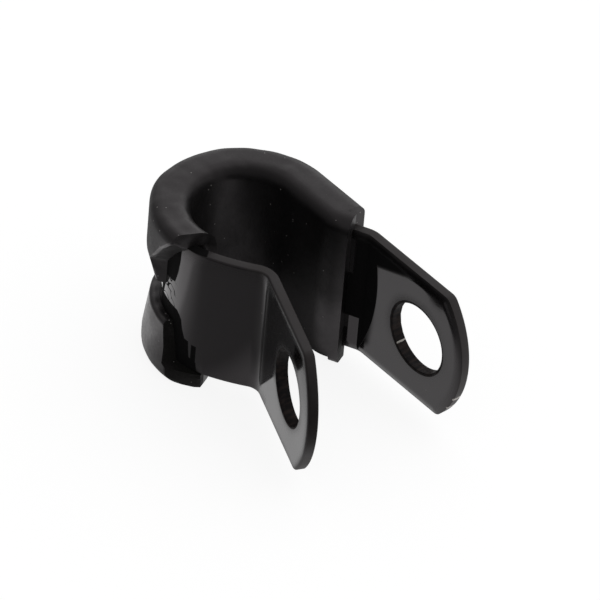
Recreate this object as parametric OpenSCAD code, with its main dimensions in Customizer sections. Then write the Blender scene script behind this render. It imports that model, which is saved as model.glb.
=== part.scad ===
// Rubber-lined strap clip that holds a brake hose, shown sprung open as it is sold.
// One bent steel strap and one rubber channel pressed over it.
// The hose runs along Z through the origin, the flat ear points along +X and bolts up against its +Y face.

/* [Strap] */
// Width of the steel strip
strap_w = 12.7; // [11:0.1:15]
// Thickness of the steel strip
strap_t = 1.1; // [0.8:0.05:1.4]

/* [Loop] */
// Bore of the lined loop, for the hose
bore_d = 9; // [8:0.1:11]
// Angle that the round part of the loop wraps
loop_turn = 206.5; // [206:0.5:210]
// Radius of the slightly bowed front leg, to the middle of the strip
leg_r = 18.9; // [15:0.1:24]
// Angle that the front leg turns along its length
leg_turn = 13; // [10:0.5:15]

/* [Flat ear] */
// Straight run of the strap from the top of the loop to the first set bend
flat_run = 4.7; // [4.2:0.1:5.4]
// Angle of the set that carries the ear clear of the sleeve
set_angle = 26; // [20:1:32]
// Inside radius of both set bends
set_r = 1.3; // [1:0.05:1.6]
// Height of the set, from the straight run to the ear
set_step = 1.38; // [1.1:0.01:1.7]
// Distance along the ear from the hose axis to the bolt hole
flat_hole_x = 15.1; // [14:0.1:18]

/* [Front ear] */
// Angle of the sharp bend between the front leg and the front ear
front_bend = 61.9; // [54:0.1:68]
// Inside radius of that bend
front_bend_r = 0.68; // [0.4:0.02:1]
// Distance from the bend to the bolt hole of the front ear
front_reach = 7.15; // [6:0.05:10]

/* [Bolt holes and ear ends] */
// Diameter of the bolt holes, clearance for M6
hole_d = 6.4; // [5.5:0.1:7.2]
// Distance from the hole's centre to the tip of the ear
ear_tip = 5.6; // [4.8:0.1:7]
// Radius of the arc that rounds the ear's end
ear_end_r = 9.4; // [8.4:0.1:12]

/* [Sleeve] */
// Thickness of the lining between the hose and the strap
lining_t = 0.95; // [0.7:0.05:1.3]
// Height of the upper rim above the strap's edge
rim_upper = 1.4; // [1:0.05:1.7]
// Height of the lower rim below the strap's edge
rim_lower = 1.35; // [1:0.05:1.6]
// Thickness of the upper lip on the strap's outer face
lip_upper_t = 1.36; // [1.2:0.02:1.8]
// Thickness of the upper lip at its tip
lip_upper_tip = 0.7; // [0.4:0.05:1.1]
// Depth of the upper lip's shoulder below the strap's upper edge, where it starts to thin
lip_shoulder = 3.35; // [2.4:0.05:4]
// Depth of the upper lip below the strap's upper edge
lip_upper_w = 5.8; // [4.8:0.1:6.2]
// Thickness of the lower lip on the strap's outer face
lip_lower_t = 1.3; // [1.1:0.05:1.7]
// Height of the lower lip above the strap's lower edge
lip_lower_w = 4.05; // [3:0.05:5]
// Rounding of the rims on the outside of the loop
rim_round = 1.1; // [0.5:0.05:1.15]
// Rounding of the upper rim on the hose side
bore_upper_round = 1.35; // [0.6:0.05:1.4]
// Rounding of the lower rim on the hose side
bore_lower_round = 0.6; // [0.3:0.05:0.9]
// Rounding of the lower lip's free edge
tip_round = 0.5; // [0.2:0.05:0.8]
// Gap left all round between the strap and the sleeve
fit_gap = 0.02; // [0:0.01:0.1]

/* [Sleeve ends] */
// Angle of the loop that the lining covers, from the start of the straight run
sleeve_turn = 205.5; // [199:0.5:205.5]
// Distance along the flat ear from the hose axis to the end of the lips
flat_end_x = 5.8; // [5.2:0.1:6.2]
// How far the lining runs on past the first set bend
lining_run_on = 1.15; // [0.6:0.05:1.4]
// Direction of the skew cut through the lips at the front end, from the flat ear's direction
front_cut_angle = 43.5; // [36:0.5:52]
// Distance of the skew cut from the hose axis, at the upper lip's thin part
front_cut_out = 3.07; // [2.8:0.01:3.4]
// How much further out the cut lies at the strap's upper edge
front_cut_rise = 2.28; // [1.6:0.02:2.6]
// Place along X of the cut that ends the lower lip, at its free edge
low_cut_tip = -1.05; // [-1.6:0.05:-0.4]
// Place along X of the same cut at the strap's lower edge
low_cut_foot = 0.2; // [-0.3:0.05:0.6]
// Direction of the straight cut that ends the upper rim, from the flat ear's direction
rim_cut_angle = 57; // [52:0.5:62]
// Distance of that cut from the hose axis
rim_cut_out = 3.85; // [3.6:0.01:4.1]

/* [Hidden] */
$fn = 96;

// Radii to the middle of the strip
loop_r = bore_d / 2 + lining_t + fit_gap + strap_t / 2;
set_mid_r = set_r + strap_t / 2;
front_mid_r = front_bend_r + strap_t / 2;

// Slope of the set, and the length along X that it takes up
set_slope = (set_step - 2 * set_mid_r * (1 - cos(set_angle))) / sin(set_angle);
set_length = 2 * set_mid_r * sin(set_angle) + set_slope * cos(set_angle);

// Steps of a run: [length, 0] is straight, [angle, radius] is a bend, and a bend to the left is positive
set_in = [set_angle, set_mid_r];
set_out = [-set_angle, set_mid_r];
sleeve_bend = [sleeve_turn, loop_r];
strap_run = [
    [flat_hole_x + ear_tip - flat_run - set_length, 0], set_in, [set_slope, 0], set_out, [flat_run, 0],
    [loop_turn, loop_r], [leg_turn, leg_r], [-front_bend, front_mid_r], [front_reach + ear_tip, 0]
];

// Ends of the strap as [x, y, heading], from the tip of the flat ear to the tip of the front ear
flat_tip = [flat_hole_x + ear_tip, loop_r + set_step, 180];
front_tip = arrive(flat_tip, strap_run);

// Sleeve section, measured outward from the middle of the strip and up from its middle height
groove = strap_t / 2 + fit_gap;
groove_z = strap_w / 2 + fit_gap;
lining_face = -groove - lining_t;
upper_face = groove + lip_upper_t;
lower_face = groove + lip_lower_t;
top_z = groove_z + rim_upper;
bottom_z = -groove_z - rim_lower;
shoulder_z = strap_w / 2 - lip_shoulder;
upper_tip_z = strap_w / 2 - lip_upper_w;
lower_tip_z = -strap_w / 2 + lip_lower_w;
lips_mid_z = (upper_tip_z + lower_tip_z) / 2;

// Overlap for cuts, a length that reaches past everything, and the largest turn between two points of a bend
over = 1;
beyond = 40;
facet = 3;

// How far the halves of the channel overlap inside the rims
seam_lap = 0.1;

// Where a step that starts at the given place ends
function after(at, step) = let (
        side = sign(step[0]),
        heading = at[2] + step[0]
    ) step[1] == 0
        ? [at[0] + step[0] * cos(at[2]), at[1] + step[0] * sin(at[2]), at[2]]
        : [at[0] + side * step[1] * (sin(heading) - sin(at[2])), at[1] - side * step[1] * (cos(heading) - cos(at[2])), heading];

// Where a whole run ends
function arrive(at, steps, i = 0) = i == len(steps) ? at : arrive(after(at, steps[i]), steps, i + 1);

// Places along a run: the start of each step, the points of each bend and the end
function places(at, steps, i = 0) = i == len(steps) ? [at] : let (
        step = steps[i],
        count = step[1] == 0 ? 1 : ceil(abs(step[0]) / facet)
    ) concat([for (k = [0:count - 1]) after(at, [step[0] * k / count, step[1]])], places(after(at, step), steps, i + 1));

// Points beside those places, to the right of the run by the given distance
function beside(way, out) = [for (p = way) [p[0] + out * sin(p[2]), p[1] - out * cos(p[2])]];

function backward(list) = [for (i = [len(list) - 1:-1:0]) list[i]];

// Sweeps the first child's section along the steps and stands the second child at the end.
// A section's X points to the right of the run, which is the outside of the loop.
module sweep(steps) {
    if (len(steps) > 0) {
        step = steps[0];
        rest = [for (i = [1:1:len(steps) - 1]) steps[i]];
        if (step[1] == 0) {
            translate([step[0], 0, 0]) rotate([90, 0, -90]) linear_extrude(step[0]) children(0);
            translate([step[0], 0, 0]) sweep(rest) { children(0); children(1); }
        } else if (step[0] > 0) {
            translate([0, step[1], 0]) rotate([0, 0, -90])
                rotate_extrude(angle = step[0]) translate([step[1], 0]) children(0);
            translate([0, step[1], 0]) rotate([0, 0, step[0]]) translate([0, -step[1], 0])
                sweep(rest) { children(0); children(1); }
        } else {
            translate([0, -step[1], 0]) rotate([0, 0, 90 + step[0]])
                rotate_extrude(angle = -step[0]) translate([step[1], 0]) mirror([1, 0]) children(0);
            translate([0, -step[1], 0]) rotate([0, 0, step[0]]) translate([0, step[1], 0])
                sweep(rest) { children(0); children(1); }
        }
    } else {
        children(1);
    }
}

// Both runs start at the top of the loop: one goes round the hose, the other out to the flat ear
module round_hose() {
    translate([0, loop_r, 0]) rotate([0, 0, 180]) children();
}

module to_flat_ear() {
    translate([0, loop_r, 0]) mirror([0, 1, 0]) children();
}

// The bent strip, drawn past both tips so that the ear ends can be cut from it
module strip() {
    start = [flat_tip[0] + over, flat_tip[1], flat_tip[2]];
    way = places(start, concat([[over, 0]], strap_run, [[over, 0]]));
    linear_extrude(strap_w, center = true)
        polygon(concat(beside(way, strap_t / 2), backward(beside(way, -strap_t / 2))));
}

// Bolt hole and round end of an ear, in a frame that lies at the ear's tip and points out of it
module ear_cuts() {
    translate([-ear_tip, 0, 0]) rotate([90, 0, 0]) cylinder(d = hole_d, h = strap_t + 2 * over, center = true);
    difference() {
        translate([-ear_end_r, -strap_t / 2 - over, -beyond / 2]) cube([ear_end_r + 2 * over, strap_t + 2 * over, beyond]);
        translate([-ear_end_r, 0, 0]) rotate([90, 0, 0]) cylinder(r = ear_end_r, h = strap_t + 4 * over, center = true);
    }
}

module steel_strap() {
    color("dimgray") difference() {
        strip();
        translate([flat_tip[0], flat_tip[1], 0]) ear_cuts();
        translate([front_tip[0], front_tip[1], 0]) rotate([0, 0, front_tip[2]]) ear_cuts();
    }
}

// Cutter that rounds a corner at the origin which points along +X and +Y
module round_off(radius) {
    difference() {
        translate([-radius, -radius]) square(radius + over);
        translate([-radius, -radius]) circle(radius);
    }
}

// Channel section: lining, two rims over the strap's edges and two lips on its outer face
module channel_section() {
    difference() {
        polygon([
            [lining_face, bottom_z], [lower_face, bottom_z], [lower_face, lower_tip_z], [groove, lower_tip_z],
            [groove, -groove_z], [-groove, -groove_z], [-groove, groove_z], [groove, groove_z],
            [groove, upper_tip_z], [groove + lip_upper_tip, upper_tip_z], [upper_face, shoulder_z],
            [upper_face, top_z], [lining_face, top_z]
        ]);
        translate([upper_face, top_z]) round_off(rim_round);
        translate([lower_face, bottom_z]) mirror([0, 1]) round_off(rim_round);
        translate([lining_face, top_z]) mirror([1, 0]) round_off(bore_upper_round);
        translate([lining_face, bottom_z]) rotate(180) round_off(bore_lower_round);
        translate([lower_face, lower_tip_z]) round_off(tip_round);
    }
}

// The half of the channel on the hose side of the strap, and the half on its outer side
module lining_section() {
    intersection() {
        channel_section();
        translate([-beyond, -beyond / 2]) square(beyond);
    }
}

module lip_section() {
    intersection() {
        channel_section();
        translate([-seam_lap, -beyond / 2]) square(beyond);
    }
}

// Skew cut that ends the upper lip at the front, through the outer half of the channel only.
// It lies nearest the hose at the lip's thin part and falls away above it.
module front_cut() {
    crown_z = 2 * groove_z - shoulder_z;
    difference() {
        rotate([0, 0, front_cut_angle]) translate([-beyond, 0, 0]) rotate([90, 0, 90]) linear_extrude(2 * beyond)
            polygon([
                [-front_cut_out - 2 * front_cut_rise, crown_z], [-front_cut_out, shoulder_z],
                [-front_cut_out, lips_mid_z], [-beyond, lips_mid_z], [-beyond, crown_z]
            ]);
        cylinder(r = loop_r, h = 3 * beyond, center = true);
    }
}

// Leaning cut that ends the lower lip at the front and leaves the rim below it
module low_cut() {
    difference() {
        rotate([90, 0, 0]) linear_extrude(beyond) polygon([
            [low_cut_tip, lips_mid_z], [low_cut_tip, lower_tip_z], [low_cut_foot, -groove_z],
            [beyond, -groove_z], [beyond, lips_mid_z]
        ]);
        cylinder(r = loop_r, h = 3 * beyond, center = true);
    }
}

// Straight cut that ends the upper rim at the front, above the strap's edge
module rim_cut() {
    rotate([0, 0, rim_cut_angle]) translate([-beyond, -beyond - rim_cut_out, groove_z]) cube([2 * beyond, beyond, beyond]);
}

// The strip with the fit gap all round it, along the set bends that pass through the flat end of the lips
module set_clearance() {
    sweep([[flat_run, 0], set_out, [set_slope, 0], set_in]) { square([2 * groove, 2 * groove_z], center = true); union() {} }
}

module rubber_sleeve() {
    color("darkslategray") union() {
        difference() {
            round_hose() sweep([sleeve_bend]) { channel_section(); union() {} }
            front_cut();
            low_cut();
            rim_cut();
        }
        to_flat_ear() sweep([[flat_run, 0], set_out, [lining_run_on, 0]]) { lining_section(); union() {} }
        to_flat_ear() difference() {
            sweep([[flat_end_x, 0]]) { lip_section(); union() {} }
            set_clearance();
        }
    }
}

steel_strap();
rubber_sleeve();
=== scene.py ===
import math
import bpy
import bmesh
from mathutils import Matrix, Vector, noise


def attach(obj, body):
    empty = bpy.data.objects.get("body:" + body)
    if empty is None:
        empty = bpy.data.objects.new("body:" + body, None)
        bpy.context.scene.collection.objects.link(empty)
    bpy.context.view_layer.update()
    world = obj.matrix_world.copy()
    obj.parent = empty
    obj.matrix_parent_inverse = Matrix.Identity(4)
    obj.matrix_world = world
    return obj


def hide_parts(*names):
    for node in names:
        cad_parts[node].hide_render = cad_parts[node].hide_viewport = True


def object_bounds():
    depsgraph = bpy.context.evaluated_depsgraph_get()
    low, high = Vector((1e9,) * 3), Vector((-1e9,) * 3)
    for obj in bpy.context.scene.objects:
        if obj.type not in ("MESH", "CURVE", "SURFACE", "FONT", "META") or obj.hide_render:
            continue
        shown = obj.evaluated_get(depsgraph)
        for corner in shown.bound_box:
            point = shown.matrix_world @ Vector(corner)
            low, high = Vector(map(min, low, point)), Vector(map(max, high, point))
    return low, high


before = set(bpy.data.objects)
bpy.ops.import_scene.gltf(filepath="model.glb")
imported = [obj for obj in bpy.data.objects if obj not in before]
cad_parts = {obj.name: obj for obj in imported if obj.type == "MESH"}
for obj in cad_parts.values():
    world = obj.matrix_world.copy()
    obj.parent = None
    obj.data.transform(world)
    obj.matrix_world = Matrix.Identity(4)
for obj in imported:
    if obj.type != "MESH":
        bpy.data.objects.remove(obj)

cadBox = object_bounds()
mm = 0.001
weldGap = 0.0008  # mm; points nearer than this are one
sliver = 0.0002  # mm; shorter edges go
print("frame loaded with", sorted(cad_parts))


# Runs along the bent strip: a step is (length, 0) or (turn in degrees, radius), left turns positive
def stepEnd(at, step):
    x, y, heading = at
    if step[1] == 0:
        return (x + step[0] * math.cos(heading), y + step[0] * math.sin(heading), heading)
    turned = heading + math.radians(step[0])
    side = math.copysign(step[1], step[0])
    return (
        x + side * (math.sin(turned) - math.sin(heading)),
        y - side * (math.cos(turned) - math.cos(heading)),
        turned,
    )


def makeRun(at, steps):
    run = []
    gone = 0.0
    for step in steps:
        length = step[0] if step[1] == 0 else abs(math.radians(step[0])) * step[1]
        run.append({"from": gone, "length": length, "at": at, "step": step})
        at = stepEnd(at, step)
        gone += length
    return run


def placeOn(run, along):
    for part in run:
        if along <= part["from"] + part["length"] or part is run[-1]:
            break
    share = (along - part["from"]) / part["length"]
    return stepEnd(part["at"], (part["step"][0] * share, part["step"][1]))


def runPoint(run, along, out, z):
    x, y, heading = placeOn(run, along)
    return Vector((x + out * math.sin(heading), y - out * math.cos(heading), z)) * mm


def runStations(run, first, last, straightStep, turnStep):
    stations = []
    for part in run:
        low = max(first, part["from"])
        high = min(last, part["from"] + part["length"])
        if high - low < 1e-6:
            continue
        if part["step"][1] == 0:
            count = math.ceil((high - low) / straightStep)
        else:
            count = math.ceil(math.degrees((high - low) / part["step"][1]) / turnStep)
        stations += [low + (high - low) * k / count for k in range(count)]
    return stations + [last]


def spread(low, high, count):
    return [low + (high - low) * k / (count - 1) for k in range(count)]


def arcPoints(centre, radius, fromDeg, toDeg, count):
    return [
        (centre[0] + radius * math.cos(math.radians(a)), centre[1] + radius * math.sin(math.radians(a)))
        for a in spread(fromDeg, toDeg, count)
    ]


# Collects points and faces, then welds them into one mesh
class Shell:
    def __init__(self):
        self.points = []
        self.marks = []
        self.faces = []

    def row(self, points, marks=0.0):  # marks says how worn each point is, from 0 to 1
        start = len(self.points)
        self.points += points
        self.marks += marks if isinstance(marks, list) else [marks] * len(points)
        return list(range(start, start + len(points)))

    def grid(self, rows, closed=False, finish=0):  # finish is the number of the faces' material
        for a, b in zip(rows, rows[1:]):
            count = len(a) if closed else len(a) - 1
            for k in range(count):
                n = (k + 1) % len(a)
                self.faces.append((finish, (a[k], a[n], b[n], b[k])))

    def piece(self, name, sharpAngle):
        mesh = bpy.data.meshes.new(name)
        work = bmesh.new()
        markLayer = work.verts.layers.float.new("mark")
        verts = [work.verts.new(p) for p in self.points]
        for vert, mark in zip(verts, self.marks):
            vert[markLayer] = mark
        for finish, corners in self.faces:
            work.faces.new([verts[k] for k in corners]).material_index = finish
        bmesh.ops.remove_doubles(work, verts=work.verts, dist=weldGap * mm)
        bmesh.ops.dissolve_degenerate(work, edges=work.edges, dist=sliver * mm)
        bmesh.ops.recalc_face_normals(work, faces=work.faces)
        openEdges = sum(1 for e in work.edges if not e.is_manifold)
        for face in work.faces:
            face.smooth = True
        work.to_mesh(mesh)
        work.free()
        mesh.set_sharp_from_angle(angle=math.radians(sharpAngle))
        item = bpy.data.objects.new(name, mesh)
        bpy.context.scene.collection.objects.link(item)
        normals = item.modifiers.new("evenNormals", "WEIGHTED_NORMAL")
        normals.keep_sharp = True
        print(name, len(mesh.vertices), "points", len(mesh.polygons), "faces", openEdges, "open edges")
        return item


# Steel strap: one strip bent round the hose, with a holed ear at each end
strap = {
    "width": 12.7, "thick": 1.1, "edgeRound": 0.2, "rollIn": 0.88, "rollDeep": 0.26, "holeRoll": 0.25,
    "loopR": 6.02, "loopTurn": 206.5, "legR": 18.9, "legTurn": 11.69,
    "flatRun": 4.7, "setAngle": 26, "setR": 1.85, "setStep": 1.38, "flatHoleX": 15.1,
    "frontBend": 60.59, "frontBendR": 1.95, "frontReach": 6.718,
    "holeR": 3.2, "earTip": 5.6, "earEndR": 9.4, "cornerR": 0.9, "plateBack": 5.2,
    "wearDepth": 0.95, "holeWear": 0.7, "sharpAngle": 40,
    "edgeSteps": 5, "faceRows": 9, "earRings": 13, "endSteps": 25, "cornerSteps": 7,
    "straightStep": 0.4, "turnStep": 2.0,
}
setTurn = math.radians(strap["setAngle"])
setSlope = (strap["setStep"] - 2 * strap["setR"] * (1 - math.cos(setTurn))) / math.sin(setTurn)
setLength = 2 * strap["setR"] * math.sin(setTurn) + setSlope * math.cos(setTurn)
flatEarLength = strap["flatHoleX"] + strap["earTip"] - strap["flatRun"] - setLength
strapRun = makeRun(
    (strap["flatHoleX"] + strap["earTip"], strap["loopR"] + strap["setStep"], math.pi),
    [
        (flatEarLength, 0),
        (strap["setAngle"], strap["setR"]),
        (setSlope, 0),
        (-strap["setAngle"], strap["setR"]),
        (strap["flatRun"], 0),
        (strap["loopTurn"], strap["loopR"]),
        (strap["legTurn"], strap["legR"]),
        (-strap["frontBend"], strap["frontBendR"]),
        (strap["frontReach"] + strap["earTip"], 0),
    ],
)
strapLength = strapRun[-1]["from"] + strapRun[-1]["length"]


def edgeProfile(roll):  # (inset, out) round an edge, from the outer face to the rolled inner face
    r = strap["edgeRound"]
    half = strap["thick"] / 2
    profile = []
    for a in spread(0, math.pi / 2, strap["edgeSteps"] + 1):
        profile.append((r * (1 - math.sin(a)), half - r * (1 - math.cos(a))))
    for t in spread(0, 1, 2 * strap["edgeSteps"] + 1):
        profile.append((roll * t, strap["rollDeep"] * roll * (1 - t) ** 2 - half))
    return profile


def stripSection():  # closed loop of (out, z) round the strip
    half = strap["thick"] / 2
    side = strap["width"] / 2
    outer = spread(strap["edgeRound"] - side, side - strap["edgeRound"], strap["faceRows"])
    inner = spread(side - strap["rollIn"], strap["rollIn"] - side, strap["faceRows"])
    turn = edgeProfile(strap["rollIn"])[1:-1]
    loop = [(half, z) for z in outer]
    loop += [(out, side - inset) for inset, out in turn]
    loop += [(-half, z) for z in inner]
    loop += [(out, inset - side) for inset, out in reversed(turn)]
    return loop


def wearAt(inset):  # 1 on an edge, fading to 0 on the faces
    return max(0.0, 1 - inset / strap["wearDepth"])


def earOutline():  # (u, z, normal u, normal z) along the ear's free edge, u from the hole towards the tip
    side = strap["width"] / 2
    endR = strap["earEndR"]
    cornerR = strap["cornerR"]
    arcU = strap["earTip"] - endR
    cornerU = arcU + math.sqrt((endR - cornerR) ** 2 - (side - cornerR) ** 2)
    meetDeg = math.degrees(math.atan2(side - cornerR, cornerU - arcU))
    count = math.ceil((cornerU + strap["plateBack"]) / strap["straightStep"]) + 1
    upper = []
    for a in spread(0, meetDeg, strap["endSteps"]):
        t = math.radians(a)
        upper.append((arcU + endR * math.cos(t), endR * math.sin(t), math.cos(t), math.sin(t)))
    for a in spread(meetDeg, 90, strap["cornerSteps"])[1:]:
        t = math.radians(a)
        cornerZ = side - cornerR + cornerR * math.sin(t)
        upper.append((cornerU + cornerR * math.cos(t), cornerZ, math.cos(t), math.sin(t)))
    for u in spread(cornerU, -strap["plateBack"], count)[1:]:
        upper.append((u, side, 0.0, 1.0))
    lower = [(u, -z, nu, -nz) for u, z, nu, nz in reversed(upper[1:])]
    return lower + upper


def addEar(shell, holeAt, way):  # way is 1 where the run goes towards the tip, -1 where it comes from it
    half = strap["thick"] / 2
    side = strap["width"] / 2
    outline = earOutline()

    def at(u, z, out):
        return runPoint(strapRun, holeAt + way * u, out, z)

    def faceRim(inset):
        heights = spread(side - inset, inset - side, strap["faceRows"])[1:-1]
        joint = [(-strap["plateBack"], z) for z in heights]
        return [(u - nu * inset, z - nz * inset) for u, z, nu, nz in outline] + joint

    angles = [math.atan2(z, u) for u, z in faceRim(0)]
    outerFace = (half, strap["edgeRound"], strap["edgeRound"])
    innerFace = (-half, strap["rollIn"], strap["holeRoll"])
    for out, inset, holeInset in (outerFace, innerFace):
        holeEdge = strap["holeR"] + holeInset
        rows = []
        for share in spread(0, 1, strap["earRings"]):
            ring = []
            marks = []
            for k, ((u, z), a) in enumerate(zip(faceRim(inset), angles)):
                hu, hz = holeEdge * math.cos(a), holeEdge * math.sin(a)
                ring.append(at(hu + (u - hu) * share, hz + (z - hz) * share, out))
                span = math.hypot(u - hu, z - hz)
                fromRim = span * (1 - share) if k < len(outline) else side - abs(hz + (z - hz) * share)
                marks.append(max(wearAt(inset + fromRim), strap["holeWear"] * wearAt(span * share)))
            rows.append(shell.row(ring, marks))
        shell.grid(rows, closed=True)
    wallRows = []
    for inset, out in edgeProfile(strap["rollIn"]):
        wall = [at(u - nu * inset, z - nz * inset, out) for u, z, nu, nz in outline]
        wallRows.append(shell.row(wall, wearAt(inset)))
    shell.grid(wallRows)
    holeRows = []
    for inset, out in edgeProfile(strap["holeRoll"]):
        radius = strap["holeR"] + inset
        wall = [at(radius * math.cos(a), radius * math.sin(a), out) for a in angles]
        holeRows.append(shell.row(wall, strap["holeWear"]))
    shell.grid(holeRows, closed=True, finish=1)


def buildStrap():
    shell = Shell()
    flatHole = strap["earTip"]
    frontHole = strapLength - strap["earTip"]
    section = stripSection()
    marks = [wearAt(strap["width"] / 2 - abs(z)) for out, z in section]
    first = flatHole + strap["plateBack"]
    last = frontHole - strap["plateBack"]
    rows = []
    for along in runStations(strapRun, first, last, strap["straightStep"], strap["turnStep"]):
        rows.append(shell.row([runPoint(strapRun, along, out, z) for out, z in section], marks))
    shell.grid(rows, closed=True)
    addEar(shell, flatHole, -1)
    addEar(shell, frontHole, 1)
    return shell.piece("steelStrap", strap["sharpAngle"])


strapPiece = buildStrap()

# Rubber sleeve: a channel pressed over the strap, with its lips cut askew at the front end
sleeve = {
    "groove": 0.57, "grooveZ": 6.37, "boreFace": -1.52, "topZ": 7.77, "bottomZ": -7.72,
    "upperFace": 1.93, "shoulderZ": 3.0, "upperTipX": 1.27, "upperTipZ": 0.55, "upperTipRound": 0.25,
    "lowerFace": 1.87, "lowerTipFace": 1.45, "lowerTipZ": -2.3, "tipRound": 0.5,
    "rimRound": 1.1, "lowerRimRound": 0.8, "boreUpperRound": 1.35, "boreLowerRound": 0.6,
    "seam": 0.25, "seamGap": 0.02, "seamSlack": 0.03, "tipFoot": 0.1, "tipSet": 0.8,
    "grooveTop": 5.9, "grooveFoot": -6.1,
    "lipEndX": 5.8, "runOn": 1.15, "roughBelow": -4.5, "turn": 205.5, "skewFrom": 215,
    "cutAngle": 43.5, "cutOut": 3.07, "cutRise": 2.28, "gapZ": -0.875,
    "lowCut": [(-1.9, -1.2, -0.75), (-3.2, -0.72, -0.28), (-4.6, -0.27, 0.02), (-6.3, -0.1, 0.45)],
    "lowRimAngle": 36, "lowRimOut": 6.6, "rimCutAngle": 68, "rimCutOut": 3.02, "rimCutLow": 4.2,
    "cutRagged": 1.3, "raggedSeed": (0.9, 0.7, 3.1),
    "wave": 0.05, "waveTurn": 9, "waveHigh": 6,
    "freeWave": 2, "freeFrom": 0.6, "freeMidZ": -0.9, "freeReach": 5,
    "flatShallow": 0.28, "shallowFrom": -5, "shallowOver": 2.7,
    "flatFuller": 0.4, "fullerFrom": 135, "fullerLowZ": -3, "fullerOver": 4,
    "leftFuller": 0.5, "leftAngle": 207, "leftSpan": 20,
    "layers": 5, "loopStep": 2.5, "endRows": 33, "sharpAngle": 68,
}


# Pairs of (outer point, groove point) from the upper lip's tip, round the bore, to the lower lip's tip;
# the last number of each arc and line is its count of points
def channelBand():
    inX = sleeve["groove"]
    inZ = sleeve["grooveZ"]
    topZ = sleeve["topZ"]
    bottomZ = sleeve["bottomZ"]
    upperX = sleeve["upperFace"]
    lowerX = sleeve["lowerFace"]
    boreX = sleeve["boreFace"]
    shoulderZ = sleeve["shoulderZ"]
    tipX = sleeve["upperTipX"]
    tipZ = sleeve["upperTipZ"]
    tipFootZ = tipZ + sleeve["tipFoot"]
    lowTipZ = sleeve["lowerTipZ"]
    seamZ = inZ - sleeve["seam"]
    edgeZ = inZ - sleeve["seamGap"]
    band = []

    def along(points, gFrom, gTo):
        for k, p in enumerate(points):
            t = k / (len(points) - 1)
            pair = (p, (gFrom[0] + (gTo[0] - gFrom[0]) * t, gFrom[1] + (gTo[1] - gFrom[1]) * t))
            if not band or k > 0:
                band.append(pair)

    def line(a, b, count):
        return list(zip(spread(a[0], b[0], count), spread(a[1], b[1], count)))

    # upper lip and rim
    shoulder = (upperX, shoulderZ)
    slope = math.degrees(math.atan2(shoulderZ - tipZ, upperX - tipX))
    tipR = sleeve["upperTipRound"]
    tip = arcPoints((tipX - tipR * sleeve["tipSet"], tipZ + tipR), tipR, -90, slope - 90, 6)
    along(tip, (inX, tipZ), (inX, tipFootZ))
    along(line(tip[-1], shoulder, 10), (inX, tipFootZ), (inX, shoulderZ))
    rimR = sleeve["rimRound"]
    arcTop = arcPoints((upperX - rimR, topZ - rimR), rimR, 0, 90, 15)
    lipTop = (upperX, seamZ)
    rimFoot = (upperX, inZ)
    along(line(shoulder, lipTop, 11), (inX, shoulderZ), (inX, seamZ))
    along([lipTop, rimFoot], (inX, seamZ), (inX, edgeZ))
    along([rimFoot] + arcTop, (inX, edgeZ), (inX, inZ))
    along(line(arcTop[-1], (0, topZ), 5), (inX, inZ), (0, inZ))
    upperMid = len(band) - 1
    # lining
    boreR = sleeve["boreUpperRound"]
    boreCentre = (boreX + boreR, topZ - boreR)
    along(arcPoints(boreCentre, boreR, 90, 135, 8), (0, inZ), (-inX, inZ))
    arcIn = arcPoints(boreCentre, boreR, 135, 180, 8)
    along(arcIn, (-inX, inZ), (-inX, sleeve["grooveTop"]))
    boreR = sleeve["boreLowerRound"]
    arcLow = arcPoints((boreX + boreR, bottomZ + boreR), boreR, 180, 270, 9)
    along(line(arcIn[-1], arcLow[0], 25), (-inX, sleeve["grooveTop"]), (-inX, sleeve["grooveFoot"]))
    along(arcLow, (-inX, sleeve["grooveFoot"]), (-inX, -inZ))
    along(line(arcLow[-1], (0, bottomZ), 4), (-inX, -inZ), (0, -inZ))
    lowerMid = len(band) - 1
    # lower rim and lip
    rimR = sleeve["lowerRimRound"]
    arcOut = arcPoints((lowerX - rimR, bottomZ + rimR), rimR, -90, 0, 15)
    rimTop = (lowerX, -inZ)
    lipFoot = (lowerX, -seamZ)
    along(line((0, bottomZ), arcOut[0], 5), (0, -inZ), (inX, -inZ))
    along(arcOut + [rimTop], (inX, -inZ), (inX, -edgeZ))
    along([rimTop, lipFoot], (inX, -edgeZ), (inX, -seamZ))
    tipR = sleeve["tipRound"]
    arcTip = arcPoints((sleeve["lowerTipFace"] - tipR, lowTipZ - tipR), tipR, 0, 90, 9)
    along(line(lipFoot, arcTip[0], 13), (inX, -seamZ), (inX, lowTipZ - tipR))
    along(arcTip, (inX, lowTipZ - tipR), (inX, lowTipZ))
    return band, upperMid, lowerMid


def setPlace(turnedRad, onward, x, z):  # on the set after the straight run, then onward along its slope
    setR = strap["setR"]
    midX = strap["flatRun"] + setR * math.sin(turnedRad) + onward * math.cos(turnedRad)
    midY = strap["loopR"] + setR * (1 - math.cos(turnedRad)) + onward * math.sin(turnedRad)
    return Vector((midX - x * math.sin(turnedRad), midY + x * math.cos(turnedRad), z)) * mm


def setStation(flatX):  # turn and onward distance at which the strip's middle is at this X
    past = flatX - strap["flatRun"]
    bend = strap["setR"] * math.sin(setTurn)
    if past <= bend:
        return math.asin(max(0.0, past) / strap["setR"]), 0.0
    return setTurn, (past - bend) / math.cos(setTurn)


def fuller(x, z, share):  # the upper lip grows fuller towards the flat end
    across = (x - sleeve["groove"]) / (sleeve["upperFace"] - sleeve["groove"])
    high = max(0.0, min(1.0, (z - sleeve["fullerLowZ"]) / sleeve["fullerOver"]))
    eased = share * share * (3 - 2 * share)
    return x + sleeve["flatFuller"] * max(0.0, across) * high * eased


def shorter(z, share):  # the lower rim grows shallower towards the flat end
    return z + sleeve["flatShallow"] * share * max(0.0, sleeve["shallowFrom"] - z) / sleeve["shallowOver"]


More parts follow.
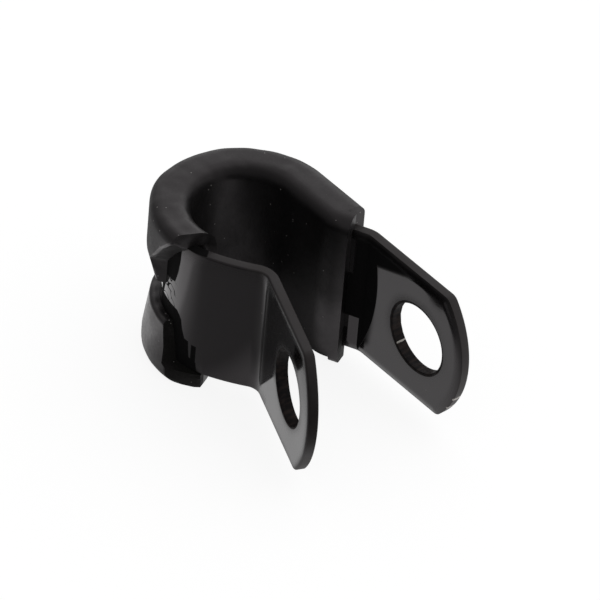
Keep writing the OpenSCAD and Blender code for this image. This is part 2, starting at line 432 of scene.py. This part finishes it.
# On the straight run; past it the lining follows the set and the lips run straight on
def flatPlace(flatX, x, z):
    x = fuller(x, z, 1.0)
    z = shorter(z, 1.0)
    if flatX <= strap["flatRun"]:
        return Vector((flatX, strap["loopR"] + x, z)) * mm
    turned, onward = setStation(flatX)
    if x <= 0:
        return setPlace(turned, onward, x, z)
    lift = strap["setR"] * (1 - math.cos(turned)) + onward * math.sin(turned)
    x += lift * max(0, 1 - (x / sleeve["upperFace"]) ** 2)
    return Vector((flatX, strap["loopR"] + x, z)) * mm


def loopPlace(angleDeg, x, z):  # moulded rubber is never quite even, most of all at the lips' free edges
    a = math.radians(angleDeg)
    near = max(0.0, (sleeve["fullerFrom"] - angleDeg) / (sleeve["fullerFrom"] - 90))
    x = fuller(x, z, near)
    z = shorter(z, near)
    leftward = math.exp(-((angleDeg - sleeve["leftAngle"]) / sleeve["leftSpan"]) ** 2)
    x = fuller(x, z, sleeve["leftFuller"] * leftward)
    free = max(0.0, min(1.0, x - sleeve["freeFrom"]))
    free *= max(0.0, 1 - abs(z - sleeve["freeMidZ"]) / sleeve["freeReach"])
    uneven = noise.noise(Vector((angleDeg / sleeve["waveTurn"], x, z / sleeve["waveHigh"])))
    z += sleeve["wave"] * (1 + sleeve["freeWave"] * free) * uneven
    radius = strap["loopR"] + x
    return Vector((radius * math.cos(a), radius * math.sin(a), z)) * mm


def skewEnd(directionDeg, reach, radius):  # loop angle of a straight cut this far from the hose axis
    return directionDeg + 180 + math.degrees(math.asin(min(1, reach / radius)))


def upperCutEnd(radius, z):  # loop angle of the skew cut through the upper lip
    rise = max(0.0, z - sleeve["shoulderZ"]) / (sleeve["grooveZ"] - sleeve["shoulderZ"])
    return skewEnd(sleeve["cutAngle"], sleeve["cutOut"] + sleeve["cutRise"] * rise, radius)


def lowerCutEnd(radius, x, z):  # loop angle of the leaning cut through the lower lip
    depth = (sleeve["lowerFace"] - x) / (sleeve["lowerFace"] - sleeve["groove"])
    cuts = sleeve["lowCut"]
    z = max(cuts[-1][0], min(cuts[0][0], z))
    for (zHigh, outHigh, inHigh), (zLow, outLow, inLow) in zip(cuts, cuts[1:]):
        if z >= zLow:
            share = (z - zLow) / (zHigh - zLow)
            outer = outLow + (outHigh - outLow) * share
            inner = inLow + (inHigh - inLow) * share
            return 270 + math.degrees(math.asin((outer + (inner - outer) * depth) / radius))


# Loop angle at which the sleeve ends: the lips at their cuts, the lining and lower rim further on
def frontEndAngle(x, z):
    end = 90 + sleeve["turn"]
    radius = strap["loopR"] + x
    seedX, seedZ, seedLevel = sleeve["raggedSeed"]
    ragged = sleeve["cutRagged"] * noise.noise(Vector((x * seedX, z * seedZ, seedLevel)))
    rimFrom = sleeve["grooveZ"] - sleeve["seamSlack"]
    if x > 0 and z > sleeve["gapZ"]:
        end = min(end, upperCutEnd(radius, z))
    elif x > 0 and z > -rimFrom:
        end = min(end, lowerCutEnd(radius, x, z))
    elif x > 0:
        end = min(end, skewEnd(sleeve["lowRimAngle"], sleeve["lowRimOut"], radius))
    if z > (rimFrom if x > 0 else sleeve["rimCutLow"]):  # the lining leans back to the rim's end
        share = min(1, (z - sleeve["rimCutLow"]) / (rimFrom - sleeve["rimCutLow"]))
        rimEnd = min(end, skewEnd(sleeve["rimCutAngle"], sleeve["rimCutOut"], radius))
        end += (rimEnd - end) * share
    return end + min(0, ragged)


def buildSleeve():
    shell = Shell()
    band, upperMid, lowerMid = channelBand()
    layers = sleeve["layers"]

    def layer(pair, k):
        (ox, oz), (gx, gz) = pair
        t = k / layers
        return (ox + (gx - ox) * t, oz + (gz - oz) * t)

    outer = [p for p, q in band]
    groove = [q for p, q in band]
    lowTip = [layer(band[-1], k) for k in range(1, layers)]
    highTip = [layer(band[0], k) for k in range(layers - 1, 0, -1)]
    loop = outer + lowTip + groove[::-1] + highTip
    rows = []
    pastRun = spread(sleeve["lipEndX"], strap["flatRun"], 7)
    for flatX in pastRun + spread(strap["flatRun"], 0, 9)[1:]:
        rows.append(shell.row([flatPlace(flatX, x, z) for x, z in loop]))
    even = spread(90, sleeve["skewFrom"], int((sleeve["skewFrom"] - 90) / sleeve["loopStep"]) + 1)
    for angle in even[1:]:
        rows.append(shell.row([loopPlace(angle, x, z) for x, z in loop]))
    ends = [frontEndAngle(x, z) for x, z in loop]
    start = sleeve["skewFrom"]
    for share in spread(0, 1, sleeve["endRows"])[1:]:
        skewed = [loopPlace(start + (e - start) * share, x, z) for e, (x, z) in zip(ends, loop)]
        rows.append(shell.row(skewed))
    shell.grid(rows, closed=True)
    # front cut face, rough at the lower lip only
    for part, finish in ((band[:lowerMid + 1], 0), (band[lowerMid:], 1)):
        capRows = []
        for k in range(layers + 1):
            points = [layer(pair, k) for pair in part]
            capRows.append(shell.row([loopPlace(frontEndAngle(x, z), x, z) for x, z in points]))
        shell.grid(capRows, finish=finish)
    # ends of both lips at the flat side, the lower one rough
    for part, finish in ((band[:upperMid + 1], 0), (band[lowerMid:], 1)):
        capRows = []
        for k in range(layers + 1):
            capRows.append(shell.row([flatPlace(sleeve["lipEndX"], *layer(pair, k)) for pair in part]))
        shell.grid(capRows, finish=finish)
    # the lining goes on alone over the set
    lining = band[upperMid:lowerMid + 1]
    sideLow = [layer(lining[-1], k) for k in range(1, layers)]
    sideHigh = [layer(lining[0], k) for k in range(layers - 1, 0, -1)]
    ring = [p for p, q in lining] + sideLow + [q for p, q in lining][::-1] + sideHigh
    turned, onward = setStation(sleeve["lipEndX"])
    liningRows = []
    for on in spread(onward, sleeve["runOn"], 5):
        liningRows.append(shell.row([setPlace(turned, on, x, z) for x, z in ring]))
    shell.grid(liningRows, closed=True)
    low = next(k for k, (p, q) in enumerate(lining) if p[1] < sleeve["roughBelow"])
    for part, finish in ((lining[:low + 1], 0), (lining[low:], 1)):
        capRows = []
        for k in range(layers + 1):
            points = [layer(pair, k) for pair in part]
            capRows.append(shell.row([setPlace(turned, sleeve["runOn"], x, z) for x, z in points]))
        shell.grid(capRows, finish=finish)
    return shell.piece("rubberSleeve", sleeve["sharpAngle"])


sleevePiece = buildSleeve()


# Short ways to lay out shader nodes; a value is a number, a colour or another node's output
def addNode(tree, kind, inputs, **settings):
    made = tree.nodes.new(kind)
    for name, value in settings.items():
        setattr(made, name, value)
    for name, value in inputs.items():
        if isinstance(value, bpy.types.NodeSocket):
            tree.links.new(value, made.inputs[name])
        else:
            made.inputs[name].default_value = value
    return made


noiseMiddle = 0.5  # the noise fields swing about this value
speckCore = 0.5  # full strength inside this share of a speck or a spot
spotCore = 0.6


def math2(tree, kind, a, b):
    return addNode(tree, "ShaderNodeMath", {0: a, 1: b}, operation=kind).outputs[0]


def times(tree, value, *others):
    for other in others:
        value = math2(tree, "MULTIPLY", value, other)
    return value


def splitPlace(tree, place):
    return addNode(tree, "ShaderNodeSeparateXYZ", {0: place}).outputs


def reachAlong(tree, place, way):  # how far the place lies along a direction
    return addNode(tree, "ShaderNodeVectorMath", {0: place, 1: way}, operation="DOT_PRODUCT").outputs["Value"]


def stretched(tree, place, scale):
    return addNode(tree, "ShaderNodeMapping", {0: place, "Scale": scale}).outputs[0]


def noiseField(tree, place, size, detail=3.0):  # size of the patches in mm
    inputs = {"Vector": place, "Scale": 1 / (size * mm), "Detail": detail}
    return addNode(tree, "ShaderNodeTexNoise", inputs).outputs["Fac"]


def fade(tree, value, low, high, toLow=0.0, toHigh=1.0, kind="SMOOTHSTEP"):
    inputs = {"Value": value, "From Min": low, "From Max": high, "To Min": toLow, "To Max": toHigh}
    return addNode(tree, "ShaderNodeMapRange", inputs, interpolation_type=kind).outputs["Result"]


def fadeMm(tree, value, low, high, kind="SMOOTHSTEP"):
    return fade(tree, value, low * mm, high * mm, kind=kind)


def blend(tree, share, a, b):
    return addNode(tree, "ShaderNodeMix", {0: share, 6: a, 7: b}, data_type="RGBA").outputs[2]


def mixValue(tree, share, a, b):
    return addNode(tree, "ShaderNodeMix", {0: share, 2: a, 3: b}, data_type="FLOAT").outputs[0]


def bumps(tree, height, strength, deep, under=None):  # deep in mm, laid over another relief if there is one
    inputs = {"Strength": strength, "Distance": deep * mm, "Height": height}
    if under is not None:
        inputs["Normal"] = under
    return addNode(tree, "ShaderNodeBump", inputs).outputs[0]


def specks(tree, place, size, spot, share):  # small spots in a share of the cells
    cells = addNode(tree, "ShaderNodeTexVoronoi", {"Vector": place, "Scale": 1 / (size * mm)})
    near = fade(tree, cells.outputs["Distance"], spot, spot * speckCore)
    picked = addNode(tree, "ShaderNodeSeparateColor", {0: cells.outputs["Color"]}).outputs[0]
    return times(tree, near, math2(tree, "LESS_THAN", picked, share))


def spotAt(tree, place, centre, size, rough):  # one placed spot with a ragged edge
    middle = [c * mm for c in centre]
    away = addNode(tree, "ShaderNodeVectorMath", {0: place, 1: middle}, operation="DISTANCE").outputs["Value"]
    ragged = times(tree, math2(tree, "SUBTRACT", rough, noiseMiddle), size * mm)
    return fadeMm(tree, math2(tree, "ADD", away, ragged), size, size * spotCore)


def profileCurve(tree, value, points):  # curve through given points, both axes scaled to 0..1
    made = addNode(tree, "ShaderNodeFloatCurve", {"Value": value})
    curve = made.mapping.curves[0]
    while len(curve.points) < len(points):
        curve.points.new(0.5, 0.5)
    for point, (x, y) in zip(curve.points, points):
        point.location = (x, y)
        point.handle_type = "VECTOR"
    made.mapping.update()
    return made.outputs[0]


def blankMaterial(name):
    material = bpy.data.materials.new(name)
    material.use_nodes = True
    tree = material.node_tree
    shader = tree.nodes["Principled BSDF"]
    place = addNode(tree, "ShaderNodeTexCoord", {}).outputs["Object"]
    return material, tree, shader, place


shineTint = (1.0, 0.92, 0.955, 1)  # both blacks mirror the light a little warm

# Gloss black paint with worn edges and chips, and a dull dark sheet of painted shade next to the rubber,
# where the rubber's shadow and its dark mirrored image fall on the strap
paint = {
    "deep": (0.0035, 0.0032, 0.0034, 1), "pale": (0.0075, 0.0068, 0.0071, 1),
    "worn": (0.022, 0.019, 0.017, 1), "bare": (0.030, 0.021, 0.018, 1),
    # the last colour is painted shade, laid where the rubber darkens the strap with its shadow and mirrored
    # image
    "steel": (0.55, 0.53, 0.50, 1), "dust": (0.2, 0.19, 0.18, 1), "paintedShade": (0.0085, 0.0082, 0.0084, 1),
    "cloudSize": 3.5, "grainSize": 0.3, "streakSize": 0.5, "streakLong": 0.12,
    "cloudLow": 0.3, "cloudHigh": 0.7, "smooth": 0.05, "clouded": 0.10, "ior": 1.42,
    "wornCloud": 0.9, "wornFrom": 1.1, "wornTo": 1.7, "wornShare": 0.7, "wornRough": 0.15, "edgeRough": 0.36,
    "dustSize": 1.4, "dustSpot": 0.06, "dustCells": 0.10, "dustShare": 0.5,
    "scratchSize": 0.35, "scratchLong": 0.15, "scratchFrom": 0.42, "scratchTo": 0.68,
    "chips": [((12.72, 7.4, -2.14), 0.1), ((20.12, 7.6, -3.4), 0.22), ((19.42, 7.6, -4.75), 0.18)],
    "chipLong": 0.12, "chipRough": 0.25, "chipMetal": 0.85,
    "peelSize": 0.7, "peel": 0.02, "peelDeep": 0.05, "dentSize": 5.0, "dent": 0.10, "dentDeep": 0.3,
}
glossPaint = {"name": "glossBlackPaint", "shine": 0.5, "scratched": 0.0}
holePaint = {"name": "dullHolePaint", "shine": 0.13, "scratched": 0.6}  # rougher and browner

# Where the painted shade lies: beside the lips on the leg, as (height, edge along the leg), and at the flat
# ear's root; it stands for the shadow and dark mirrored images of the rubber and the loop
paintedShade = {
    "rough": 0.6, "shine": 0.02, "ragged": 0.05, "soft": 0.008,
    "legWay": (0.809, 0.588, 0.0), "legFace": (0.588, -0.809, 0.0), "legFaceFrom": 3.0,
    "low": -6.4, "high": 6.4, "from": -6.0, "to": -1.0,
    "edge": [
        (6.4, -1.45), (6.27, -1.7), (6.2, -3.85), (4.6, -3.93), (2.9, -4.1), (1.8, -4.35), (1.45, -5.4),
        (-0.75, -5.6), (-0.87, -3.95), (-1.55, -3.48), (-2.5, -3.28), (-3.3, -3.05), (-3.4, -2.62),
        (-5.0, -2.46), (-5.3, -1.8), (-6.4, -1.68),
    ],
    "lineSize": 1.1, "lineWide": 0.03, "lineCore": 0.015, "lineFoot": (-1.3, -0.9), "lineTop": (2.0, 1.6),
    "lineEnd": (-4.0, -4.5),
    "fingerFrom": -2.33, "fingerTo": -1.86, "fingerTop": -3.55, "fingerSoft": 0.04,
    "rootX": 9.8, "rootBow": 0.034, "rootMidZ": 1.1, "rootY": 5.0,
    "rootTop": 6.0, "rootFade": 0.5, "rootSoft": 0.05,
    "clearLowZ": -2.7, "clearLowX": 7.95, "clearHighZ": 1.9, "clearHighX": 7.2,
    "browSlope": 0.36, "browLow": 0.4, "browHigh": 0.9, "browFrom": 12.0, "browEnd": 16.0,
}


def legPaintedShade(tree, place, rough):  # painted shade beside the lips, out to an edge that changes with height
    z = splitPlace(tree, place)[2]
    along = reachAlong(tree, place, paintedShade["legWay"])
    rise = fadeMm(tree, z, paintedShade["low"], paintedShade["high"], kind="LINEAR")
    points = []
    for edgeZ, edge in sorted(paintedShade["edge"]):
        share = (edgeZ - paintedShade["low"]) / (paintedShade["high"] - paintedShade["low"])
        points.append((share, (edge - paintedShade["from"]) / (paintedShade["to"] - paintedShade["from"])))
    edge = profileCurve(tree, rise, points)
    reached = fadeMm(tree, along, paintedShade["from"], paintedShade["to"], kind="LINEAR")
    ragged = times(tree, math2(tree, "SUBTRACT", rough, noiseMiddle), paintedShade["ragged"])
    inside = math2(tree, "ADD", math2(tree, "SUBTRACT", edge, reached), ragged)
    main = fade(tree, inside, -paintedShade["soft"], paintedShade["soft"])
    # thin wandering lines of painted shade between the lips
    field = noiseField(tree, place, paintedShade["lineSize"], detail=1)
    wander = math2(tree, "ABSOLUTE", math2(tree, "SUBTRACT", field, noiseMiddle), 0)
    lines = fade(tree, wander, paintedShade["lineWide"], paintedShade["lineCore"])
    lines = times(tree, lines, fadeMm(tree, z, *paintedShade["lineFoot"]), fadeMm(tree, z, *paintedShade["lineTop"]))
    lines = times(tree, lines, fadeMm(tree, along, *paintedShade["lineEnd"]))
    # one finger of the painted shade stands apart from the rest
    soft = paintedShade["fingerSoft"]
    left = fadeMm(tree, along, paintedShade["fingerFrom"] - soft, paintedShade["fingerFrom"] + soft)
    right = fadeMm(tree, along, paintedShade["fingerTo"] + soft, paintedShade["fingerTo"] - soft)
    finger = times(tree, left, right, fadeMm(tree, z, paintedShade["fingerTop"] + soft, paintedShade["fingerTop"] - 2 * soft))
    shown = math2(tree, "MAXIMUM", main, math2(tree, "MAXIMUM", finger, lines))
    facing = reachAlong(tree, place, paintedShade["legFace"])
    return times(tree, shown, math2(tree, "GREATER_THAN", facing, paintedShade["legFaceFrom"] * mm))


def rootPaintedShade(tree, place):  # painted shade at the root of the flat ear's inner face, standing for the loop's shadow and dark mirrored image, with a bowed edge
    x, y, z = splitPlace(tree, place)
    off = math2(tree, "SUBTRACT", z, paintedShade["rootMidZ"] * mm)
    edge = math2(tree, "SUBTRACT", paintedShade["rootX"] * mm, times(tree, off, off, paintedShade["rootBow"] / mm))
    inside = fadeMm(tree, math2(tree, "SUBTRACT", edge, x), -paintedShade["rootSoft"], paintedShade["rootSoft"])
    # it tapers away under the ear's upper edge
    above = math2(tree, "SUBTRACT", z, times(tree, x, paintedShade["browSlope"]))
    brow = fadeMm(tree, above, paintedShade["browLow"], paintedShade["browHigh"])
    brow = times(tree, brow, fadeMm(tree, x, paintedShade["browEnd"], paintedShade["browFrom"]))
    shown = math2(tree, "MAXIMUM", inside, brow)
    # two clear patches by the lining's end
    lowClear = math2(tree, "LESS_THAN", z, paintedShade["clearLowZ"] * mm)
    lowClear = times(tree, lowClear, math2(tree, "LESS_THAN", x, paintedShade["clearLowX"] * mm))
    highClear = math2(tree, "GREATER_THAN", z, paintedShade["clearHighZ"] * mm)
    highClear = times(tree, highClear, math2(tree, "LESS_THAN", x, paintedShade["clearHighX"] * mm))
    shown = times(tree, shown, math2(tree, "SUBTRACT", 1.0, math2(tree, "MAXIMUM", lowClear, highClear)))
    shown = times(tree, shown, fadeMm(tree, z, paintedShade["rootTop"], paintedShade["rootTop"] - paintedShade["rootFade"]))
    facing = addNode(tree, "ShaderNodeNewGeometry", {}).outputs["Normal"]
    inner = math2(tree, "LESS_THAN", splitPlace(tree, facing)[1], 0.0)
    return times(tree, shown, math2(tree, "GREATER_THAN", y, paintedShade["rootY"] * mm), inner)


def makePaint(look):
    material, tree, shader, place = blankMaterial(look["name"])
    mark = addNode(tree, "ShaderNodeAttribute", {}, attribute_name="mark").outputs["Fac"]
    cloud = noiseField(tree, place, paint["cloudSize"])
    grain = noiseField(tree, place, paint["grainSize"], detail=4)
    upright = stretched(tree, place, (1, 1, paint["streakLong"]))
    streak = noiseField(tree, upright, paint["streakSize"], detail=2)
    clouded = times(tree, cloud, paint["wornCloud"])
    worn = fade(tree, math2(tree, "ADD", mark, clouded), paint["wornFrom"], paint["wornTo"])
    dust = specks(tree, place, paint["dustSize"], paint["dustSpot"], paint["dustCells"])
    # chips run across the strip's thickness
    squeezed = stretched(tree, place, (1, paint["chipLong"], 1))
    chip = 0.0
    for (chipX, chipY, chipZ), size in paint["chips"]:
        centre = (chipX, chipY * paint["chipLong"], chipZ)
        chip = math2(tree, "MAXIMUM", chip, spotAt(tree, squeezed, centre, size, grain))
    colour = blend(tree, cloud, paint["deep"], paint["pale"])
    colour = blend(tree, times(tree, worn, paint["wornShare"]), colour, paint["worn"])
    colour = blend(tree, times(tree, dust, paint["dustShare"]), colour, paint["dust"])
    rough = fade(tree, cloud, paint["cloudLow"], paint["cloudHigh"], paint["smooth"], paint["clouded"])
    for field, amount in ((worn, paint["wornRough"]), (mark, paint["edgeRough"]), (chip, paint["chipRough"])):
        rough = math2(tree, "ADD", rough, times(tree, field, amount))
    if look["scratched"]:
        across = stretched(tree, place, (1, paint["scratchLong"], 1))
        scratch = noiseField(tree, across, paint["scratchSize"])
        scratch = fade(tree, scratch, paint["scratchFrom"], paint["scratchTo"])
        colour = blend(tree, times(tree, scratch, look["scratched"]), colour, paint["bare"])
        rough = math2(tree, "ADD", rough, times(tree, streak, look["scratched"]))
        shader.inputs["Specular IOR Level"].default_value = look["shine"]
    else:
        # painted shade beside the rubber and at the flat ear's root: darker colour, rougher and duller gloss
        shadePainted = math2(tree, "MAXIMUM", legPaintedShade(tree, place, streak), rootPaintedShade(tree, place))
        colour = blend(tree, shadePainted, colour, paint["paintedShade"])
        rough = math2(tree, "ADD", rough, times(tree, shadePainted, paintedShade["rough"]))
        shine = mixValue(tree, shadePainted, look["shine"], paintedShade["shine"])
        tree.links.new(shine, shader.inputs["Specular IOR Level"])
    tree.links.new(blend(tree, chip, colour, paint["steel"]), shader.inputs["Base Color"])
    tree.links.new(rough, shader.inputs["Roughness"])
    tree.links.new(times(tree, chip, paint["chipMetal"]), shader.inputs["Metallic"])
    shader.inputs["IOR"].default_value = paint["ior"]
    shader.inputs["Specular Tint"].default_value = shineTint
    peel = noiseField(tree, place, paint["peelSize"], detail=2)
    dents = noiseField(tree, place, paint["dentSize"], detail=1)
    relief = bumps(tree, peel, paint["peel"], paint["peelDeep"])
    relief = bumps(tree, dents, paint["dent"], paint["dentDeep"], relief)
    tree.links.new(relief, shader.inputs["Normal"])
    return material


# Satin black rubber: moulded skin outside, dull and near black where it was cut
rubber = {
    "cloudSize": 3.0, "grainSize": 0.22, "grainShare": 0.5, "grainDeep": 0.04,
    "mottleLow": 0.5, "mottleHigh": 1.0, "waveSize": 2.6, "waveDeep": 0.4,
    "dust": (0.30, 0.29, 0.28, 1), "dustShare": 0.7,
    "fineSpecks": (0.9, 0.08, 0.5), "wideSpecks": (1.7, 0.05, 1.0),  # cell, spot, share of the cells
    "boreFrom": 5.3, "boreTo": 4.8, "boreLowZ": -5.0,
}
rubberSkin = {
    "name": "satinBlackRubber", "deep": (0.0045, 0.0043, 0.0044, 1), "pale": (0.0095, 0.0088, 0.0090, 1),
    "shine": 0.5, "boreShine": 0.27, "smooth": 0.36, "rough": 0.52, "grain": 0.12, "waves": 0.15,
}
rubberCut = {
    "name": "cutBlackRubber", "deep": (0.0028, 0.0029, 0.0023, 1), "pale": (0.0075, 0.0074, 0.0062, 1),
    "shine": 0.2, "smooth": 0.55, "rough": 0.85, "grain": 0.5, "waves": 0.4,
}


def boreShare(tree, place):  # 1 on the lining's face, fading to 0 at its foot
    x, y, z = splitPlace(tree, place)
    plan = addNode(tree, "ShaderNodeCombineXYZ", {0: math2(tree, "MINIMUM", x, 0.0), 1: y}).outputs[0]
    away = addNode(tree, "ShaderNodeVectorMath", {0: plan}, operation="LENGTH").outputs["Value"]
    near = fadeMm(tree, away, rubber["boreFrom"], rubber["boreTo"])
    return times(tree, near, fadeMm(tree, z, rubber["boreLowZ"], 0))


def makeRubber(look):
    material, tree, shader, place = blankMaterial(look["name"])
    cloud = noiseField(tree, place, rubber["cloudSize"])
    grain = noiseField(tree, place, rubber["grainSize"], detail=5)
    fine = specks(tree, place, *rubber["fineSpecks"])
    dust = math2(tree, "MAXIMUM", fine, specks(tree, place, *rubber["wideSpecks"]))
    colour = blend(tree, cloud, look["deep"], look["pale"])
    colour = blend(tree, times(tree, dust, rubber["dustShare"]), colour, rubber["dust"])
    tree.links.new(colour, shader.inputs["Base Color"])
    mottle = math2(tree, "ADD", cloud, times(tree, grain, rubber["grainShare"]))
    rough = fade(tree, mottle, rubber["mottleLow"], rubber["mottleHigh"], look["smooth"], look["rough"])
    tree.links.new(rough, shader.inputs["Roughness"])
    shader.inputs["Specular IOR Level"].default_value = look["shine"]
    if "boreShine" in look:
        shine = mixValue(tree, boreShare(tree, place), look["shine"], look["boreShine"])
        tree.links.new(shine, shader.inputs["Specular IOR Level"])
    shader.inputs["Specular Tint"].default_value = shineTint
    waves = noiseField(tree, place, rubber["waveSize"], detail=2)
    relief = bumps(tree, grain, look["grain"], rubber["grainDeep"])
    relief = bumps(tree, waves, look["waves"], rubber["waveDeep"], relief)
    tree.links.new(relief, shader.inputs["Normal"])
    return material


for look in (glossPaint, holePaint):
    strapPiece.data.materials.append(makePaint(look))
for look in (rubberSkin, rubberCut):
    sleevePiece.data.materials.append(makeRubber(look))
print("paint and rubber laid on")

for item, node, finish in (
    (strapPiece, "steel_strap", "black_paint"),
    (sleevePiece, "rubber_sleeve", "black_rubber"),
):
    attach(item, "root")
    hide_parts(node)
print("strap and sleeve stand for their CAD nodes")

# Camera at the picture's viewing angle, with its slight roll
cameraSet = {
    "place": (390.67, -352.57, 435.2), "target": (7.27, 0.50, 1.87), "roll": 5.0,
    "lens": 486.6, "sensor": 36.0, "nearest": 0.01, "farthest": 20,
}


def makeCamera():
    data = bpy.data.cameras.new("viewCamera")
    data.lens = cameraSet["lens"]
    data.sensor_width = cameraSet["sensor"]
    data.sensor_height = cameraSet["sensor"]
    data.sensor_fit = "HORIZONTAL"
    data.clip_start = cameraSet["nearest"]
    data.clip_end = cameraSet["farthest"]
    item = bpy.data.objects.new("viewCamera", data)
    bpy.context.scene.collection.objects.link(item)
    place = Vector(cameraSet["place"]) * mm
    ahead = (Vector(cameraSet["target"]) * mm - place).normalized()
    right = ahead.cross(Vector((0, 0, 1))).normalized()
    up = right.cross(ahead)
    roll = math.radians(cameraSet["roll"])
    rolledRight = right * math.cos(roll) + up * math.sin(roll)
    rolledUp = up * math.cos(roll) - right * math.sin(roll)
    turn = Matrix((rolledRight, rolledUp, -ahead)).transposed().to_4x4()
    item.matrix_world = Matrix.Translation(place) @ turn
    bpy.context.scene.camera = item


makeCamera()

# White floor and surround, with the light behind and above; fields of the floor mirror brighter or darker
stageSet = {
    "floorSize": 4.0, "glow": 0.88, "paper": 0.8, "faint": 0.2,
    "slant": 0.35, "slantX": 8.0, "darkFrom": -10.8, "darkTo": -6.2, "frontTone": 0.4, "backTone": 0.95,
    "leftFrom": -7.0, "leftTo": 1.5, "brightFrom": -4.5, "brightTo": -7.0, "brightTone": 1.5,
    "farFrom": -12.5, "farTo": -16.5,
    "rightFrom": 21.0, "rightTo": 25.0, "rightBackFrom": 2.0, "rightBackTo": -3.0, "rightTone": 0.02,
    "shadeWay": (-0.695, 0.719, 0.0), "shadeFrom": -1.8, "shadeTo": -1.2, "shadeTone": 0.12,
    "shadeReach": 7.5, "shadeSoft": 1.0,
    "skyFrom": -0.3, "skyTo": 0.55, "skyFront": 0.4, "skyBack": 1.0,
    "lowFrom": 0.1, "lowTo": 0.4, "lowTone": 0.12,
}


def floorTone(tree, place):  # what the gloss sees of the floor
    x, y = splitPlace(tree, place)[:2]
    slanted = times(tree, math2(tree, "SUBTRACT", x, stageSet["slantX"] * mm), stageSet["slant"])
    front = fadeMm(tree, math2(tree, "ADD", y, slanted), stageSet["darkTo"], stageSet["darkFrom"])
    front = times(tree, front, fadeMm(tree, x, stageSet["leftFrom"], stageSet["leftTo"]))
    bright = fadeMm(tree, x, stageSet["brightFrom"], stageSet["brightTo"])
    far = fadeMm(tree, x, stageSet["farFrom"], stageSet["farTo"])
    right = fadeMm(tree, x, stageSet["rightFrom"], stageSet["rightTo"])
    right = times(tree, right, fadeMm(tree, y, stageSet["rightBackFrom"], stageSet["rightBackTo"]))
    tone = mixValue(tree, front, stageSet["backTone"], stageSet["frontTone"])
    tone = mixValue(tree, bright, tone, stageSet["brightTone"])
    tone = mixValue(tree, far, tone, stageSet["frontTone"])
    tone = mixValue(tree, right, tone, stageSet["rightTone"])
    # the far half of the paper inside the loop lies in shade
    across = reachAlong(tree, place, stageSet["shadeWay"])
    away = addNode(tree, "ShaderNodeVectorMath", {0: place}, operation="LENGTH").outputs["Value"]
    reach = stageSet["shadeReach"]
    shade = fadeMm(tree, across, stageSet["shadeFrom"], stageSet["shadeTo"])
    shade = times(tree, shade, fadeMm(tree, away, reach + stageSet["shadeSoft"], reach))
    return mixValue(tree, shade, tone, stageSet["shadeTone"])


def makeFloor():
    mesh = bpy.data.meshes.new("floor")
    half = stageSet["floorSize"] / 2
    corners = [(-half, -half, 0), (half, -half, 0), (half, half, 0), (-half, half, 0)]
    mesh.from_pydata(corners, [], [(0, 1, 2, 3)])
    floor = bpy.data.objects.new("floor", mesh)
    floor.location.z = cadBox[0][2]
    bpy.context.scene.collection.objects.link(floor)
    material = bpy.data.materials.new("whiteFloor")
    material.use_nodes = True
    tree = material.node_tree
    tree.nodes.clear()
    path = addNode(tree, "ShaderNodeLightPath", {}).outputs
    place = addNode(tree, "ShaderNodeTexCoord", {}).outputs["Object"]
    mirrored = addNode(tree, "ShaderNodeEmission", {"Strength": floorTone(tree, place)}).outputs[0]
    paper = addNode(tree, "ShaderNodeBsdfDiffuse", {"Color": (stageSet["paper"],) * 3 + (1,)}).outputs[0]
    faint = addNode(tree, "ShaderNodeBsdfDiffuse", {"Color": (stageSet["faint"],) * 3 + (1,)}).outputs[0]
    glow = addNode(tree, "ShaderNodeEmission", {"Strength": stageSet["glow"]}).outputs[0]
    white = addNode(tree, "ShaderNodeAddShader", {0: faint, 1: glow}).outputs[0]
    glossy = path["Is Glossy Ray"]
    unseen = addNode(tree, "ShaderNodeMixShader", {0: glossy, 1: paper, 2: mirrored}).outputs[0]
    seen = math2(tree, "MAXIMUM", path["Is Camera Ray"], path["Is Transmission Ray"])
    surface = addNode(tree, "ShaderNodeMixShader", {0: seen, 1: unseen, 2: white}).outputs[0]
    addNode(tree, "ShaderNodeOutputMaterial", {"Surface": surface})
    mesh.materials.append(material)


def makeWorld():
    world = bpy.data.worlds.new("studio")
    bpy.context.scene.world = world
    world.use_nodes = True
    tree = world.node_tree
    tree.nodes.clear()
    path = addNode(tree, "ShaderNodeLightPath", {}).outputs
    direction = addNode(tree, "ShaderNodeTexCoord", {}).outputs["Generated"]
    y, z = splitPlace(tree, direction)[1:]
    ahead = fade(tree, y, stageSet["skyTo"], stageSet["skyFrom"])
    sky = mixValue(tree, ahead, stageSet["skyBack"], stageSet["skyFront"])
    low = times(tree, ahead, fade(tree, z, stageSet["lowTo"], stageSet["lowFrom"]))
    sky = mixValue(tree, low, sky, stageSet["lowTone"])
    seen = math2(tree, "MAXIMUM", path["Is Camera Ray"], path["Is Transmission Ray"])
    strength = mixValue(tree, seen, sky, 1.0)
    white = addNode(tree, "ShaderNodeBackground", {"Color": (1, 1, 1, 1), "Strength": strength}).outputs[0]
    addNode(tree, "ShaderNodeOutputWorld", {"Surface": white})


makeFloor()
makeWorld()
bpy.context.scene.view_settings.view_transform = "Standard"
print("camera, floor and surround placed")
